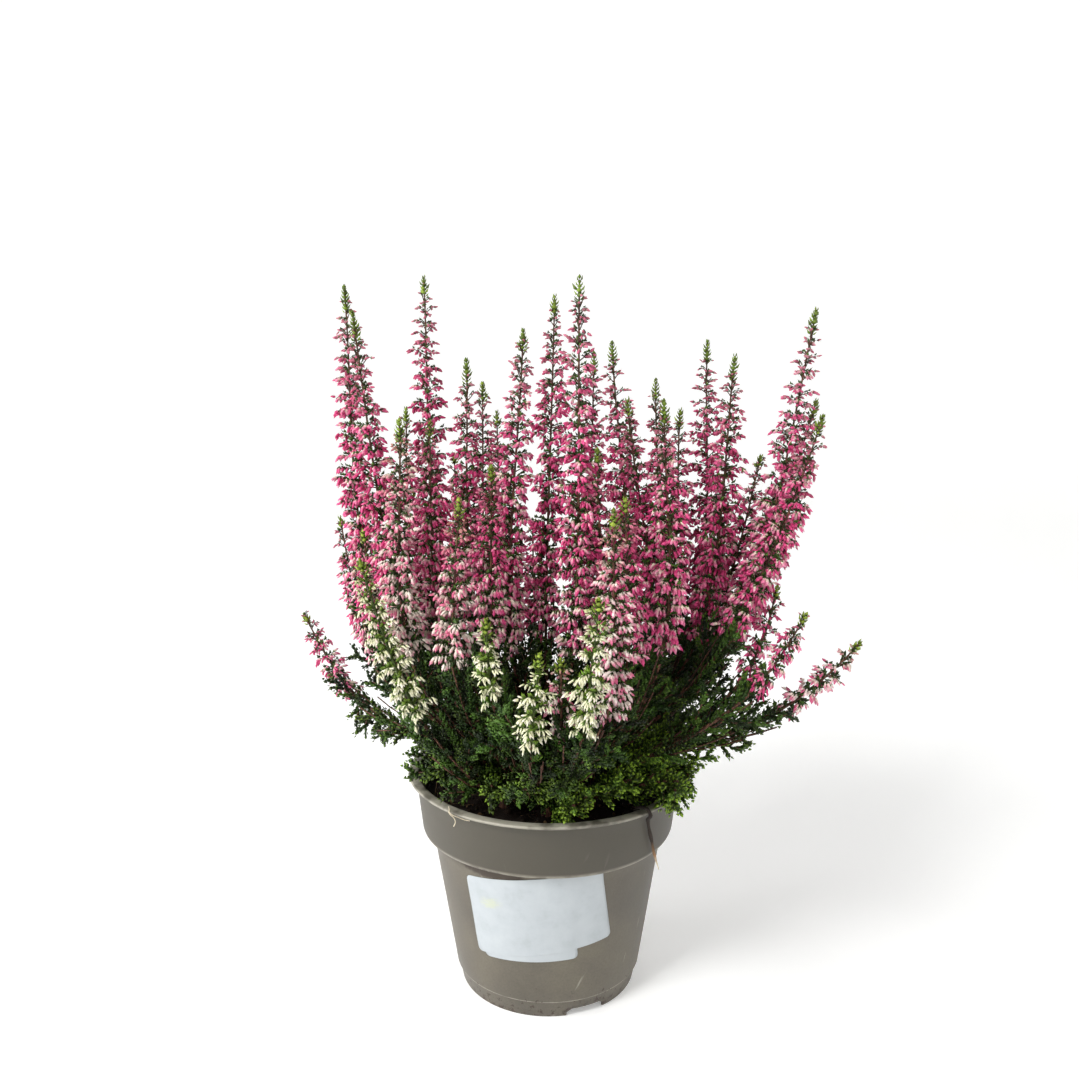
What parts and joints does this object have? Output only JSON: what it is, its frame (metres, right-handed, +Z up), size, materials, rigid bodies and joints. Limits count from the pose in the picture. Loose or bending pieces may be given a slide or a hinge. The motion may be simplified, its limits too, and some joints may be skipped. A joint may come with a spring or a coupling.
{
  "type": "potted heather",
  "caption": "Flowering heather in a plastic nursery pot: upright pink and white flower spikes over dark leafy stems, soil and a blank sticker.",
  "frame": {"origin": "on the ground under the pot, on the pot's axis", "axes": "+Z up along the pot's axis; -Y toward the front, where the stickers are; +X to the right seen from the front"},
  "size_m": [0.2514, 0.2157, 0.3291],
  "materials": {
    "pot": "satin moulded plastic, taupe grey",
    "soil": "moist peat, very dark brown",
    "sticker": "smooth white label paper, blank",
    "leaf": "dark green scale leaves on reddish brown wood",
    "rose": "deep pink buds",
    "blush": "pale pink and white buds",
    "pale": "pink buds with pale ends",
    "white": "cream white buds"
  },
  "bodies": {
    "root": {"pot": "pot", "soil": "soil", "sticker_lower": "sticker", "sticker_upper": "sticker", "branch_1": "leaf", "branch_2": "leaf", "branch_3": "leaf", "branch_4": "leaf", "branch_5": "leaf", "branch_6": "leaf", "branch_7": "leaf", "branch_8": "leaf", "branch_9": "leaf", "spike_01": "rose", "spike_02": "rose", "spike_03": "rose", "spike_04": "rose", "spike_05": "rose", "spike_06": "pale", "spike_07": "rose", "spike_08": "rose", "spike_09": "rose", "spike_10": "rose", "spike_11": "pale", "spike_12": "rose", "spike_13": "rose", "spike_14": "rose", "spike_15": "rose", "spike_16": "rose", "spike_17": "rose", "spike_18": "rose", "spike_19": "rose", "spike_20": "rose", "spike_21": "rose", "spike_22": "rose", "spike_23": "rose", "spike_24": "rose", "spike_25": "rose", "spike_26": "rose", "spike_27": "rose", "spike_28": "blush", "spike_29": "blush", "spike_30": "rose", "spike_31": "rose", "spike_32": "rose", "spike_33": "white", "spike_34": "white", "spike_35": "white", "spike_36": "blush", "spike_37": "white", "spike_38": "rose", "spike_39": "rose", "spike_40": "rose", "spike_41": "blush", "spike_42": "rose", "spike_43": "rose", "spike_44": "rose", "spike_45": "rose", "spike_46": "rose"}
  },
  "joints": []
}
